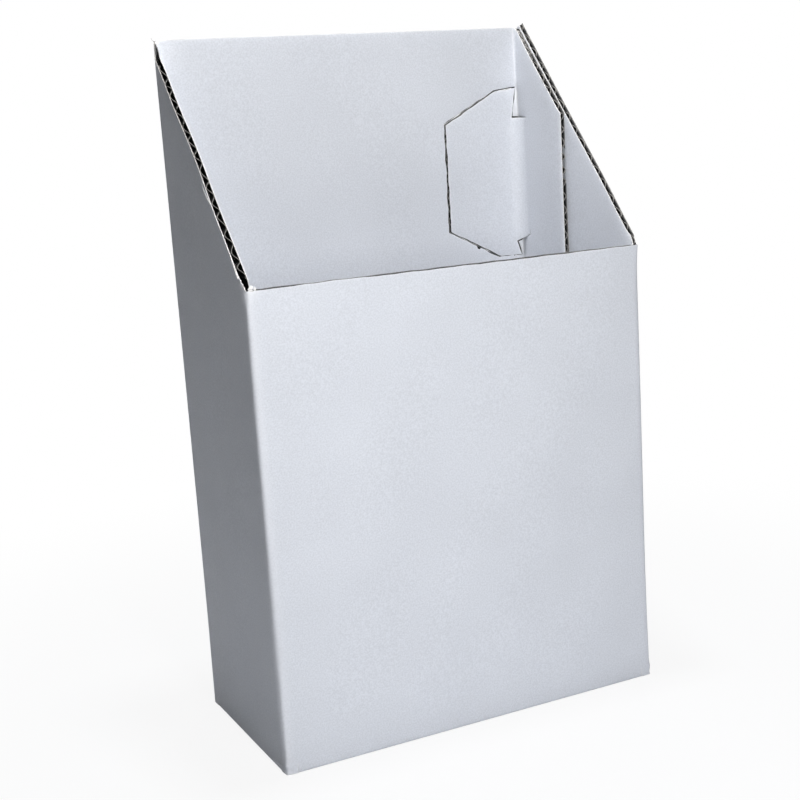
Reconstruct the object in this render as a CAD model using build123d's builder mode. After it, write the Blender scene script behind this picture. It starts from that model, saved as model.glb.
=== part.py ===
from build123d import *
from math import ceil, floor
import os

# Brochure box: one sheet of corrugated board, folded into an open-topped box with a tall back.
# Millimetres, +Z up, the front faces -Y, and the origin lies under the middle of the box.

# Folded box, outside
box_width = 235.0
box_depth = 115.0
front_height = 257.0
back_height = 384.0

# Corrugated board, with level flutes all the way round the box
board = 3.8
liner = 0.45
medium = 0.35
flute_pitch = 7.8
mouth_depth = 4.0
mouth_base_share = 0.35
mouth_waist_share = 0.21
mouth_tip_share = 0.08

# Folds, corner slots and glue lines
fold_inner_radius = 0.7
glue_line = 0.3
corner_inset = 6.0
slot_gap = 0.8
corner_lift = 0.6

# Glue flap, folded from the back's right edge and glued inside the right side
flap_width = 46.0
flap_foot = 14.0

# Die-cut tab in the back, hinged on the glue flap's fold and seated in its own opening
tab_reach = 51.0
tab_flat = 16.0
tab_drop = 37.5
tab_height = 100.5
tab_shoulder = 18.2
tab_slit = 1.0
tab_bend_radius = 8.0
ear_tip_width = 4.0
ear_root_width = 1.3
upper_ear = 16.5
lower_ear = 8.5

# Base: a closing panel folded from the front, glued under three stepped flaps
step_start = 9.0
step_run = 8.0
step_radius = 3.0
base_flap_reach = 40.0
closing_gap = 1.0

# How far a cut runs past what it cuts
overrun = 5.0

# Places that follow from the sizes above
left = -box_width / 2
right = box_width / 2
front = -box_depth / 2
back = box_depth / 2
half_board = board / 2
fold_radius = fold_inner_radius + half_board
fold_outer_radius = fold_inner_radius + board
fold_zone = fold_outer_radius + slot_gap
inner_back = back - board
flap_outer = right - board - glue_line
flap_inner = flap_outer - board
flap_end = inner_back - flap_width
slope = (back_height - front_height) / (inner_back - front)
tip_height = front_height + slope * box_depth
kink_height = front_height + slope * (flap_end - front)
tab_root = inner_back - tab_bend_radius - tab_slit
tab_high = back_height - tab_drop
tab_low = tab_high - tab_height
step_end = step_start + step_run
upper_level = half_board + board + glue_line
flap_inset = corner_inset + slot_gap

os.makedirs("parts", exist_ok=True)


def tab_points():
    """Outline of the tab seen from the front, with a notch for each tapered ear at its hinge."""
    ear_tip = flap_inner - ear_tip_width
    ear_root = flap_inner - ear_root_width
    flat = flap_inner - tab_flat
    tip = flap_inner - tab_reach
    return [
        (flap_outer, tab_low + lower_ear),
        (ear_tip, tab_low + lower_ear),
        (ear_root, tab_low),
        (flat, tab_low),
        (tip, tab_low + tab_shoulder),
        (tip, tab_high - tab_shoulder),
        (flat, tab_high),
        (ear_root, tab_high),
        (ear_tip, tab_high - upper_ear),
        (flap_outer, tab_high - upper_ear),
    ]


def flute_mouths(middle, low, high):
    """Open ends of the flutes of a board with this middle, as faces from a low to a high level."""
    half_pitch = flute_pitch / 2
    base_half = flute_pitch * mouth_base_share
    waist_half = flute_pitch * mouth_waist_share
    tip_half = flute_pitch * mouth_tip_share
    first = ceil((low + base_half) / half_pitch)
    last = floor((high - base_half) / half_pitch)
    mouths = []
    for count in range(first, last + 1):
        side = 1 if count % 2 else -1
        level = count * half_pitch
        base = middle + side * (half_board - liner)
        tip = middle - side * (half_board - liner - medium)
        mouth = Polygon(
            (base, level - base_half),
            (middle, level - waist_half),
            (tip, level - tip_half),
            (tip, level + tip_half),
            (middle, level + waist_half),
            (base, level + base_half),
            align=None,
            mode=Mode.PRIVATE,
        )
        mouths.append(mouth)
    return mouths


def base_flap_plan(start, end):
    """Plan of a mitred base flap, from its wall inwards, between two places along that wall."""
    mitre = base_flap_reach - fold_outer_radius
    return [
        (0, start),
        (fold_outer_radius, start),
        (base_flap_reach, start + mitre),
        (base_flap_reach, end - mitre),
        (fold_outer_radius, end),
        (0, end),
    ]


def base_flap_path():
    """Middle line of a base flap, from its wall inwards: fold, then a step up over the closing panel."""
    return [
        (half_board, fold_zone),
        (half_board, half_board),
        (step_start, half_board),
        (step_end, upper_level),
        (base_flap_reach, upper_level),
    ]


# Closing panel of the base, folded from the front
with BuildPart() as closing_panel:
    with BuildSketch(Plane.YZ):
        with BuildLine():
            FilletPolyline(
                (front + half_board, fold_zone),
                (front + half_board, half_board),
                (back - step_end - closing_gap, half_board),
                radius=fold_radius,
            )
        trace(line_width=board)
    extrude(amount=box_width / 2, both=True)
    hinge_half = box_width / 2 - flap_inset
    panel_half = box_width / 2 - step_end - closing_gap
    hinge_line = front + fold_outer_radius
    shoulder_line = hinge_line + hinge_half - panel_half
    with BuildSketch():
        Polygon(
            (-hinge_half, front),
            (hinge_half, front),
            (hinge_half, hinge_line),
            (panel_half, shoulder_line),
            (panel_half, back),
            (-panel_half, back),
            (-panel_half, shoulder_line),
            (-hinge_half, hinge_line),
            align=None,
        )
    extrude(amount=fold_zone, mode=Mode.INTERSECT)

# Three stepped base flaps, each folded from its wall: place of the wall, way inwards, start and end along it
base_flap_walls = [
    ((left, 0), (1, 0), front + flap_inset, back - flap_inset),
    ((right, 0), (-1, 0), front + flap_inset, back - flap_inset),
    ((0, back), (0, -1), left + flap_inset, flap_outer - flap_inset),
]
base_flaps = []
for wall, inward, start, end in base_flap_walls:
    with BuildPart() as base_flap:
        with BuildSketch(Plane(origin=wall, x_dir=inward, z_dir=(inward[1], -inward[0], 0))):
            with BuildLine():
                FilletPolyline(base_flap_path(), radius=[fold_radius, step_radius, step_radius])
            trace(line_width=board)
        extrude(amount=box_width, both=True)
        with BuildSketch(Plane(origin=wall, x_dir=inward, z_dir=(0, 0, 1))):
            Polygon(base_flap_plan(start, end), align=None)
        extrude(amount=upper_level + fold_zone, mode=Mode.INTERSECT)
    base_flaps.append(base_flap.part)

# The tab, bent wide from the glue flap into the plane of the back
with BuildPart() as tab:
    with BuildSketch(Plane.XY.offset(tab_low)):
        with BuildLine():
            FilletPolyline(
                (flap_inner + half_board, tab_root),
                (flap_inner + half_board, back - half_board),
                (flap_inner - tab_reach - overrun, back - half_board),
                radius=tab_bend_radius + half_board,
            )
        trace(line_width=board)
    extrude(amount=tab_high - tab_low)
    with BuildSketch(Plane.XZ):
        Polygon(tab_points(), align=None)
    extrude(amount=box_depth, both=True, mode=Mode.INTERSECT)

# Open flutes along the sloped edges of both sides and of the glue flap
with BuildPart() as slope_mouths:
    with BuildSketch(Plane.XZ):
        add(flute_mouths(left + half_board, front_height + overrun, back_height - overrun))
        add(flute_mouths(right - half_board, front_height + overrun, tip_height - overrun))
        add(flute_mouths(flap_inner + half_board, kink_height + overrun, back_height - overrun))
    extrude(amount=box_depth, both=True)
    with BuildSketch(Plane.YZ):
        Polygon(
            (front - overrun, front_height),
            (front + mouth_depth, front_height),
            (back + mouth_depth, tip_height),
            (back - overrun, tip_height),
            align=None,
        )
    extrude(amount=box_width, both=True, mode=Mode.INTERSECT)

with BuildPart() as brochure_box:
    # Right side, front, left side, back and glue flap, as one folded strip
    with BuildSketch(Plane.XY.offset(corner_lift)):
        with BuildLine():
            FilletPolyline(
                (right - half_board, back),
                (right - half_board, front + half_board),
                (left + half_board, front + half_board),
                (left + half_board, back - half_board),
                (flap_inner + half_board, back - half_board),
                (flap_inner + half_board, flap_end),
                radius=fold_radius,
            )
        trace(line_width=board)
    extrude(amount=tip_height - corner_lift)

    # Sloped tops, from the front's top edge up to the back
    with BuildSketch(Plane.YZ):
        Polygon(
            (front - overrun, front_height - slope * overrun),
            (back + overrun, tip_height + slope * overrun),
            (front - overrun, tip_height + slope * overrun),
            align=None,
        )
    extrude(amount=box_width, both=True, mode=Mode.SUBTRACT)

    # Level tops of the front, between its folds, and of the back, short of the right side's tip
    with BuildSketch(Plane.XY.offset(front_height)):
        with Locations((0, front + half_board)):
            Rectangle(box_width - 2 * fold_outer_radius, board + 2 * fold_inner_radius)
    extrude(amount=tip_height - front_height, mode=Mode.SUBTRACT)
    with BuildSketch(Plane.XY.offset(back_height)):
        with Locations((left - overrun, front)):
            Rectangle(
                flap_outer + glue_line / 2 - left + overrun,
                box_depth + overrun,
                align=(Align.MIN, Align.MIN),
            )
    extrude(amount=tip_height, mode=Mode.SUBTRACT)

    # Foot of the glue flap, clear of the base
    with BuildSketch():
        with Locations((flap_inner - glue_line / 2, inner_back - fold_inner_radius)):
            Rectangle(board + glue_line, flap_width + overrun, align=(Align.MIN, Align.MAX))
    extrude(amount=flap_foot, mode=Mode.SUBTRACT)

    # Corner slots: each wall is cut away above its base flap's fold
    with BuildSketch():
        with Locations((0, front + half_board)):
            Rectangle(box_width - 2 * corner_inset, board)
        for middle in (left + half_board, right - half_board):
            with Locations((middle, 0)):
                Rectangle(board, box_depth - 2 * corner_inset)
        with Locations((left + corner_inset, back - half_board)):
            Rectangle(
                flap_outer - left - 2 * corner_inset,
                board,
                align=(Align.MIN, Align.CENTER),
            )
    extrude(amount=fold_zone, mode=Mode.SUBTRACT)
    add(closing_panel.part)
    for base_flap_part in base_flaps:
        add(base_flap_part)

    # Opening of the tab, a slit wider than the tab all round, with the tab seated in it
    with BuildSketch(Plane.XZ.offset(-tab_root)):
        Polygon(tab_points(), align=None)
        offset(amount=tab_slit, kind=Kind.INTERSECTION)
        with Locations((flap_outer, 0)):
            Rectangle(box_width, tip_height, align=(Align.MAX, Align.MIN), mode=Mode.INTERSECT)
    extrude(amount=tab_root - back - overrun, mode=Mode.SUBTRACT)
    add(tab.part)

    # Open flutes: sloped edges, the glue flap's upright edge, and the right side's back edge below its tip
    add(slope_mouths.part, mode=Mode.SUBTRACT)
    with BuildSketch(Plane.XZ.offset(-flap_end)):
        add(flute_mouths(flap_inner + half_board, flap_foot, kink_height - overrun))
    extrude(amount=-mouth_depth, mode=Mode.SUBTRACT)
    with BuildSketch(Plane.XZ.offset(-back)):
        back_edge_top = tip_height - slope * (2 * mouth_depth + overrun)
        add(flute_mouths(right - half_board, fold_zone, back_edge_top))
    extrude(amount=mouth_depth, mode=Mode.SUBTRACT)

    # Level edges, cut along the flutes: a groove between the two liners
    with BuildSketch(Plane.XY.offset(front_height)):
        with Locations((0, front + half_board)):
            Rectangle(box_width - 2 * corner_inset, board - 2 * liner)
    extrude(amount=-mouth_depth, mode=Mode.SUBTRACT)
    with BuildSketch(Plane.XY.offset(back_height)):
        with Locations((left + corner_inset, back - half_board)):
            Rectangle(
                flap_inner - left - 2 * corner_inset,
                board - 2 * liner,
                align=(Align.MIN, Align.CENTER),
            )
    extrude(amount=-mouth_depth, mode=Mode.SUBTRACT)

brochure_box.part.label = "brochure_box"
export_step(brochure_box.part, "parts/brochure_box.step")
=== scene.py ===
"""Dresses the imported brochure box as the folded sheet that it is: two white liners over a fluted medium."""

import math

import bpy
import numpy as np
from bpy.props import FloatProperty, FloatVectorProperty, PointerProperty
from mathutils import Matrix, Vector
from mathutils.geometry import delaunay_2d_cdt


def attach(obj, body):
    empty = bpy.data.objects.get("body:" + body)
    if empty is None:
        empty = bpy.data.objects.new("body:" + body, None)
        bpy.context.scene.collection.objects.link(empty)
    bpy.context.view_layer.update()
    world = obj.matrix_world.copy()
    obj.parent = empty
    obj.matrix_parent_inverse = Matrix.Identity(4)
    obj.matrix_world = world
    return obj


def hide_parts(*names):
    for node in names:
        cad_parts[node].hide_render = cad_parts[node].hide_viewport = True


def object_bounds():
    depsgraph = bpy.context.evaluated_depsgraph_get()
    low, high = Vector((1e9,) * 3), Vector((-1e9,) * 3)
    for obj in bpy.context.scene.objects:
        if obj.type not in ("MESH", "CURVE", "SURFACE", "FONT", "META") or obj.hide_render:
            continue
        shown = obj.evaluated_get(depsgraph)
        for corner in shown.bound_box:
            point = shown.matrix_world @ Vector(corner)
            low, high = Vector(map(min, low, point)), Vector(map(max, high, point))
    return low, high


bl_info = {
    "name": "Brochure box board",
    "version": (1, 0, 0),
    "blender": (4, 5, 0),
    "location": "3D View > Sidebar > Brochure box",
    "description": "Folds white-lined corrugated board over the frame of a brochure box",
    "category": "Object",
}

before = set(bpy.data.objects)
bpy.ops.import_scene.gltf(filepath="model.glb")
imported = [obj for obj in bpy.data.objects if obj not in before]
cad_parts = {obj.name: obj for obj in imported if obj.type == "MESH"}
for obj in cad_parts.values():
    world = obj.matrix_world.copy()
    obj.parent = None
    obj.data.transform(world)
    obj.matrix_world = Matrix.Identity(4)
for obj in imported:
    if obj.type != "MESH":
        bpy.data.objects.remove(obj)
CAD_LOW, CAD_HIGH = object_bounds()
NODE = "brochure_box"
BODY = "root"


def length(name, description, default):
    """A length property in metres."""
    return FloatProperty(name=name, description=description, default=default, min=0.0, unit="LENGTH", precision=4)


def share(name, description, default):
    """A property from nothing to all."""
    return FloatProperty(name=name, description=description, default=default, min=0.0, max=1.0, subtype="FACTOR")


def tint(name, description, default):
    """A colour property in scene-linear values."""
    return FloatVectorProperty(
        name=name, description=description, default=default, min=0.0, max=1.0, size=3, subtype="COLOR"
    )


def watts(name, description, default):
    """A lamp's power in watts."""
    return FloatProperty(name=name, description=description, default=default, min=0.0, unit="POWER")


class BoxSizes(bpy.types.PropertyGroup):
    """Sizes of the folded sheet."""

    width: length("Width", "Outside width of the box", CAD_HIGH.x - CAD_LOW.x)
    depth: length("Depth", "Outside depth of the box", CAD_HIGH.y - CAD_LOW.y)
    front_height: length("Front height", "Height of the low front", 0.257)
    back_height: length("Back height", "Height of the tall back", 0.384)
    board: length("Board", "Thickness of the corrugated board", 0.0038)
    liner: length("Liner", "Thickness of each white liner", 0.00042)
    medium: length("Medium", "Thickness of the fluted paper between the liners", 0.0004)
    flute_pitch: length("Flute pitch", "Height from one flute to the next", 0.0078)
    fold_inner_radius: length("Fold radius", "Inner radius of the box's folds", 0.0007)
    glue_line: length("Glue line", "Gap between glued faces", 0.0003)
    corner_inset: length("Corner inset", "Width of the wall left beside each base fold", 0.0067)
    slot_gap: length("Slot gap", "Width of the slots beside each base fold, pressed nearly shut", 0.0001)
    base_margin: length("Base margin", "Height of the base slots' ends above the folds", 0.0008)
    corner_lift: length("Corner lift", "Height of the corners above the floor", 0.0002)
    flap_width: length("Glue flap width", "Width of the glue flap inside the right side", 0.046)
    flap_foot: length("Glue flap foot", "Height of the glue flap's lower end", 0.014)
    tab_reach: length("Tab reach", "Reach of the tab from the glue flap", 0.051)
    tab_flat: length("Tab flat", "Length of the tab's level edges", 0.016)
    tab_drop: length("Tab drop", "Tab's top below the back's top", 0.0375)
    tab_height: length("Tab height", "Height of the tab", 0.1005)
    tab_shoulder: length("Tab shoulder", "Height of the tab's slanted corners", 0.0182)
    tab_bend_radius: length("Tab bend radius", "Inner radius of the tab's wide bend", 0.008)
    tab_root_gap: length("Tab root gap", "Straight run of the tab before its bend", 0.001)
    ear_tip_width: length("Ear tip width", "Width of the ears at their free ends", 0.004)
    ear_root_width: length("Ear root width", "Width of the ears at the tab's corners", 0.0013)
    upper_ear: length("Upper ear", "Height of the upper ear", 0.0165)
    lower_ear: length("Lower ear", "Height of the lower ear", 0.0085)
    step_start: length("Step start", "Run of a base flap before its step", 0.009)
    step_run: length("Step run", "Run of a base flap's step", 0.008)
    step_radius: length("Step radius", "Radius of the bends of a base flap's step", 0.003)
    base_flap_reach: length("Base flap reach", "Reach of the base flaps", 0.040)
    closing_gap: length("Closing gap", "Gap round the closing panel of the base", 0.001)
    corner_step: length("Corner step", "Left slope's upper end below the back's top", 0.007)
    tip_cut: length("Tip cut", "Length cut off the right side's tip, square to its slope", 0.003)
    front_dip: length("Front dip", "How far the outer liner's front edge is pressed below the inner one", 0.00042)
    grid_step: length("Grid step", "Spacing of the mesh over the flat panels", 0.008)


class BoardLook(bpy.types.PropertyGroup):
    """Colours and finish of the board."""

    liner_colour: tint("Liner", "Coated white liner", (0.70, 0.722, 0.77))
    # Whitening colour: wear along cut edges, and painted highlight on the front left fold, the ears and the top of
    # their fold.
    wear_and_highlight_colour: tint("Crease", "Cracked coating on creases and ears", (0.86, 0.87, 0.90))
    edge_colour: tint("Cut edge", "Bare fibre on the liners' cut edges", (0.80, 0.79, 0.78))
    # Painted shade: the colour that cut edges take where they lie in shade.
    edge_shade_colour: tint("Glued edge", "Cut edges of the two liners glued face to face", (0.36, 0.345, 0.325))
    medium_colour: tint("Medium", "Fluted paper at its cut edge", (0.33, 0.318, 0.30))
    back_colour: tint("Liner back", "Bare inner face of the liners at their cut edge", (0.22, 0.22, 0.222))
    deep_colour: tint("Deep", "Paper inside the flutes, in their shadow", (0.016, 0.016, 0.0165))
    crushed_colour: tint("Crushed", "Crushed flutes at the glue flap's top", (0.50, 0.49, 0.475))
    grain: share("Grain", "Strength of the paper's fine grain", 0.075)
    bow: length("Bow", "How far the panels bow out of flat", 0.0005)


class StageLook(bpy.types.PropertyGroup):
    """Light and floor."""

    key_power: watts("Key power", "Power of the upright key light, left of the middle", 1.77)
    low_power: watts("Low power", "Power of the small light low in front", 0.14)
    front_power: watts("Front power", "Power of the far light in front", 7.8)
    top_power: watts("Top power", "Power of the light over the open top", 5.7)
    rear_power: watts("Rear power", "Power of the light behind, for views of the back", 7.0)
    ambient: share("Ambient", "Strength of the grey light from all round", 0.01)
    floor_colour: tint("Floor", "Pale floor", (0.64, 0.66, 0.70))
    floor_white: share("Floor white", "Share of plain white that the camera sees on the floor", 0.90)


class FoldPath:
    """Middle line of a folded board: straight runs joined by round folds, measured along its length."""

    def __init__(self, points, radii):
        points = [np.array(p, float) for p in points]
        self.runs = []
        self.folds = []
        place, travelled = points[0], 0.0
        for i in range(1, len(points)):
            ahead = points[i] - points[i - 1]
            ahead /= np.linalg.norm(ahead)
            corner = i < len(points) - 1
            trim = turn = 0.0
            if corner:
                after = points[i + 1] - points[i]
                turn = math.atan2(ahead[0] * after[1] - ahead[1] * after[0], ahead @ after)
                trim = radii[i - 1] * math.tan(abs(turn) / 2)
            end = points[i] - ahead * trim
            run = np.linalg.norm(end - place)
            self.runs.append((travelled, run, place, ahead, 0.0, 1.0))
            travelled += run
            place = end
            if corner:
                run = radii[i - 1] * abs(turn)
                self.runs.append((travelled, run, place, ahead, math.copysign(1.0, turn), radii[i - 1]))
                self.folds.append((travelled, travelled + run))
                travelled += run
                place = points[i] + after / np.linalg.norm(after) * trim
        self.length = travelled

    def at(self, along):
        """Points of the line and the directions to its left, at these lengths along it."""
        along = np.asarray(along, float)
        points, lefts = np.zeros((len(along), 2)), np.zeros((len(along), 2))
        starts = np.array([r[0] for r in self.runs])
        which = np.clip(np.searchsorted(starts, along, side="right") - 1, 0, len(self.runs) - 1)
        for k, (start, _, place, ahead, side, radius) in enumerate(self.runs):
            own = which == k
            if not own.any():
                continue
            far = along[own] - start
            left = np.array([-ahead[1], ahead[0]])
            if side == 0.0:
                points[own] = place + far[:, None] * ahead
                lefts[own] = left
            else:
                angle = far / radius * side
                cos, sin = np.cos(angle), np.sin(angle)
                turned = np.stack([left[0] * cos - left[1] * sin, left[0] * sin + left[1] * cos], -1)
                points[own] = place + left * side * radius - turned * side * radius
                lefts[own] = turned
        return points, lefts


def widened(points, gaps):
    """An open outline moved to its left, each side by its own gap at its start and at its end."""
    points = [np.array(p, float) for p in points]
    lines = []
    for a, b, (first, last) in zip(points, points[1:], gaps):
        ahead = (b - a) / np.linalg.norm(b - a)
        left = np.array([-ahead[1], ahead[0]])
        lines.append((a + left * first, b + left * last))
    made = [lines[0][0]]
    for (a, b), (c, d) in zip(lines, lines[1:]):
        u, v = b - a, d - c
        far = ((c - a)[0] * v[1] - (c - a)[1] * v[0]) / (u[0] * v[1] - u[1] * v[0])
        made.append(a + u * far)
    made.append(lines[-1][1])
    return [tuple(p) for p in made]


def wavy(points, size, step, phase):
    """An open line with points between its corners, moved a little to and fro by fixed waves."""
    made = []
    for k, (a, b) in enumerate(zip(points, points[1:])):
        a, b = np.array(a, float), np.array(b, float)
        run = np.linalg.norm(b - a)
        left = np.array([a[1] - b[1], b[0] - a[0]]) / run
        made.append(tuple(a))
        parts = max(1, round(run / step))
        for i in range(1, parts):
            turn = phase + 2.3 * k + i * 1.9
            wave = math.sin(turn) + 0.7 * math.sin(2.7 * turn + 1.0) + 0.5 * math.sin(0.37 * turn)
            made.append(tuple(a + (b - a) * i / parts + left * wave * size))
    made.append(tuple(np.array(points[-1], float)))
    return made


def hump(far, width):
    """One in the middle, falling away smoothly to both sides."""
    return np.exp(-((far / width) ** 2))


MILLIMETRE = 0.001
# Places across the front, and how much of the dip the outer liner's front edge has there.
FRONT_DIP_PLACES = (0.1125, 0.076, 0.066, -0.046, -0.056, -0.086, -0.092, -0.1125)
FRONT_DIP_SHARES = (0.35, 0.5, 1.0, 1.0, 0.1, 0.08, 0.9, 1.0)
# The slit's width at the start and end of each side of the tab, in millimetres.
SLIT_GAPS = (
    (0.25, 0.95),  # lower lip
    (0.7, 0.5),  # lower ear
    (0.45, 0.35),  # level edge below
    (1.1, 1.2),  # lower slant
    (1.9, 0.9),  # upright tip
    (1.2, 1.1),  # upper slant
    (0.9, 0.7),  # level edge above
    (0.15, 0.35),  # upper ear
    (1.2, 0.25),  # upper lip
)
# Short cuts along the tab's lower edge: places from the glue flap, and widths in millimetres.
SLIT_DASHES = ((-0.0045, 0.35), (-0.0058, 0.12), (-0.0066, 0.75), (-0.0075, 0.12), (-0.0148, 0.14))
# A torn nick in the slit's lower slant: its place from the glue flap, and its outline from there.
NICK_REACH = 0.0325
NICK_OUTLINE = ((0.0016, 0.0066), (0.0008, 0.0058), (-0.0006, 0.0062), (-0.0014, 0.0081))
# How far the lower lip and the tab's top edge rise towards the glue flap.
LOWER_LIP_RISE = 0.0042
TAB_TOP_RISE = 0.0017
# Widths of the rows of small triangles beside every cut edge.
EDGE_RINGS = (0.0006, 0.0015)
# Peeled slivers on the left slope: width, start and end along it, drop and lift.
SLIVERS = ((0.0006, 0.047, 0.034, 0.0022, 0.0006), (0.0007, 0.030, 0.001, 0.0003, 0.0011))
# A crumpled flake on the front left corner: its rise, and how far out it stands, along its length.
FLAKE = (
    *((-0.0008, 0.0001), (0.0006, 0.0002), (0.0017, -0.0003)),
    *((0.0023, -0.0012), (0.0019, -0.0022), (0.0009, -0.0027)),
)
# Each light's name, place, aim, width and height, and power.
LAMPS = (
    ("key_light", (-0.11, -0.50, 0.42), (-0.02, 0.0, 0.24), (0.10, 0.40), "key_power"),
    ("low_light", (-0.12, -0.45, 0.06), (-0.04, 0.0, 0.06), (0.12, 0.08), "low_power"),
    ("front_light", (-0.08, -2.2, 1.3), (-0.02, 0.0, 0.25), (0.12, 0.4), "front_power"),
    ("top_light", (0.0, -0.02, 1.0), (0.0, 0.0, 0.28), (0.10, 0.10), "top_power"),
    ("rear_light", (0.75, 1.1, 0.62), (0.0, 0.0, 0.2), (0.7, 0.5), "rear_power"),
)
# The camera's place, its azimuth, elevation and roll in degrees, and its lens in millimetres.
CAMERA_PLACE = (-0.34832, -0.69807, 0.3368)
CAMERA_TURN = (-25.888, 11.599, -3.659)
CAMERA_LENS = 62.562


class Blank:
    """The die-cut sheet, flat: where its folds lie, its outline, the cut of its tab, and how it folds up."""

    def __init__(self, z):
        self.z = z
        half = z.board / 2
        self.half = half
        self.left, self.right = -z.width / 2, z.width / 2
        self.front, self.back = -z.depth / 2, z.depth / 2
        self.bend = z.fold_inner_radius + half
        self.outer = z.fold_inner_radius + z.board
        self.zone = self.outer + z.base_margin
        self.inner_back = self.back - z.board
        self.flap_outer = self.right - z.board - z.glue_line
        self.flap_inner = self.flap_outer - z.board
        self.flap_end = self.inner_back - z.flap_width
        self.slope = (z.back_height - z.front_height) / (self.inner_back - self.front)
        self.left_slope = (z.back_height - z.corner_step - z.front_height) / z.depth
        self.tab_root = self.inner_back - z.tab_bend_radius - z.tab_root_gap
        self.tab_high = z.back_height - z.tab_drop
        self.tab_low = self.tab_high - z.tab_height
        self.strip = FoldPath(
            [
                (self.right - half, self.back),
                (self.right - half, self.front + half),
                (self.left + half, self.front + half),
                (self.left + half, self.back - half),
                (self.flap_inner + half, self.back - half),
                (self.flap_inner + half, self.flap_end),
            ],
            [self.bend] * 4,
        )
        upper = half + z.board + z.glue_line
        step_end = z.step_start + z.step_run
        self.base_path = FoldPath(
            [(half, self.zone), (half, half), (z.step_start, half), (step_end, upper), (z.base_flap_reach, upper)],
            [self.bend, z.step_radius, z.step_radius],
        )
        self.closing_reach = z.depth - step_end - z.closing_gap
        self.closing_path = FoldPath([(half, self.zone), (half, half), (self.closing_reach, half)], [self.bend])
        self.closing_inset = step_end + z.closing_gap - z.corner_inset - z.slot_gap
        self.root = self.strip.folds[3][1] + self.back - self.outer - self.tab_root

    def rise(self, y):
        """Height of the sloped edges at a place between the front and the back."""
        return self.z.front_height + self.slope * (y - self.front)

    def left_rise(self, y):
        """Height of the left side's sloped edge, which ends a step below the back's top."""
        return self.z.front_height + self.left_slope * (y - self.front)

    def walls(self):
        """Each wall's base fold: from and to along the strip, and the path of what folds from it."""
        (_, f1), (_, f2), (_, f3), _ = self.strip.folds
        inset = self.z.corner_inset
        step = inset - self.outer
        span = self.flap_outer - self.left - 2 * inset
        return [
            (inset, self.z.depth - inset, self.base_path),
            (f1 + step, f1 + step + self.z.width - 2 * inset, self.closing_path),
            (f2 + step, f2 + step + self.z.depth - 2 * inset, self.base_path),
            (f3 + step, f3 + step + span, self.base_path),
        ]

    def sunk(self, path, reach):
        """Height on the flat sheet of a place this far in from the wall, past the base fold."""
        along = np.linspace(0.0, path.length, 4000)
        inward = path.at(along)[0][:, 0]
        return self.zone - float(np.interp(reach, inward[inward > self.half + 1e-6], along[inward > self.half + 1e-6]))

    def outline(self, dip=0.0, trim=0.0):
        """Outline of the whole sheet, with a wavy dip along the front's top edge and the right tip trimmed."""
        z = self.z
        (a1, b1), (a2, b2), (a3, b3), (a4, b4) = self.strip.folds
        low, high = self.rise(self.front + self.outer), self.rise(self.back - self.outer)
        across = [(b1 + a2) / 2 - x for x in FRONT_DIP_PLACES]
        level = [(s, z.front_height - dip * share_here) for s, share_here in zip(across, FRONT_DIP_SHARES)]
        tip = z.tip_cut + trim
        points = [
            (0.0, self.rise(self.back) - tip),
            (0.5 * tip, self.rise(self.back - 0.5 * tip)),
            (a1, low),
            ((a1 + b1) / 2, level[0][1]),
            *wavy(level[::-1], 0.0001, 0.005, 0.4 + 900.0 * dip)[::-1],
            ((a2 + b2) / 2, level[-1][1]),
            (b2, self.left_rise(self.front + self.outer)),
            (a3, self.left_rise(self.back - self.outer)),
            ((a3 + b3) / 2 - 0.0001, self.left_rise(self.back)),
            ((a3 + b3) / 2, z.back_height),
            (a4, z.back_height),
            (b4, high),
            (self.strip.length, self.rise(self.flap_end)),
            (self.strip.length, z.flap_foot),
            (b4, z.flap_foot),
            (b4, z.corner_lift),
        ]
        for first, last, path in reversed(self.walls()):
            start, end = first + z.slot_gap, last - z.slot_gap
            points += [(last, z.corner_lift), (last, self.zone), (end, self.zone), (end, self.sunk(path, self.outer))]
            if path is self.closing_path:
                tuck, reach = self.closing_inset, self.closing_reach
                points += [(end - tuck, self.sunk(path, self.outer + tuck)), (end - tuck, self.sunk(path, reach))]
                points += [(start + tuck, self.sunk(path, reach)), (start + tuck, self.sunk(path, self.outer + tuck))]
            else:
                mitre, reach = z.base_flap_reach - self.outer, z.base_flap_reach
                points += [(end - mitre, self.sunk(path, reach)), (start + mitre, self.sunk(path, reach))]
            points += [(start, self.sunk(path, self.outer)), (start, self.zone), (first, self.zone)]
            points.append((first, z.corner_lift))
        points.append((0.0, z.corner_lift))
        return points

    def tab_points(self):
        """Outline of the tab seen from the front, from its lower hinge round to its upper hinge."""
        z = self.z
        tip, flat = self.flap_inner - z.tab_reach, self.flap_inner - z.tab_flat
        ear_tip, ear_root = self.flap_inner - z.ear_tip_width, self.flap_inner - z.ear_root_width
        return [
            (self.flap_outer, self.tab_low + z.lower_ear + LOWER_LIP_RISE),
            (ear_tip, self.tab_low + z.lower_ear),
            (ear_root, self.tab_low),
            (flat, self.tab_low),
            (tip, self.tab_low + z.tab_shoulder),
            (tip, self.tab_high - z.tab_shoulder),
            (flat, self.tab_high),
            (ear_root, self.tab_high + TAB_TOP_RISE),
            (ear_tip, self.tab_high - z.upper_ear),
            (self.flap_outer, self.tab_high - z.upper_ear),
        ]

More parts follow.
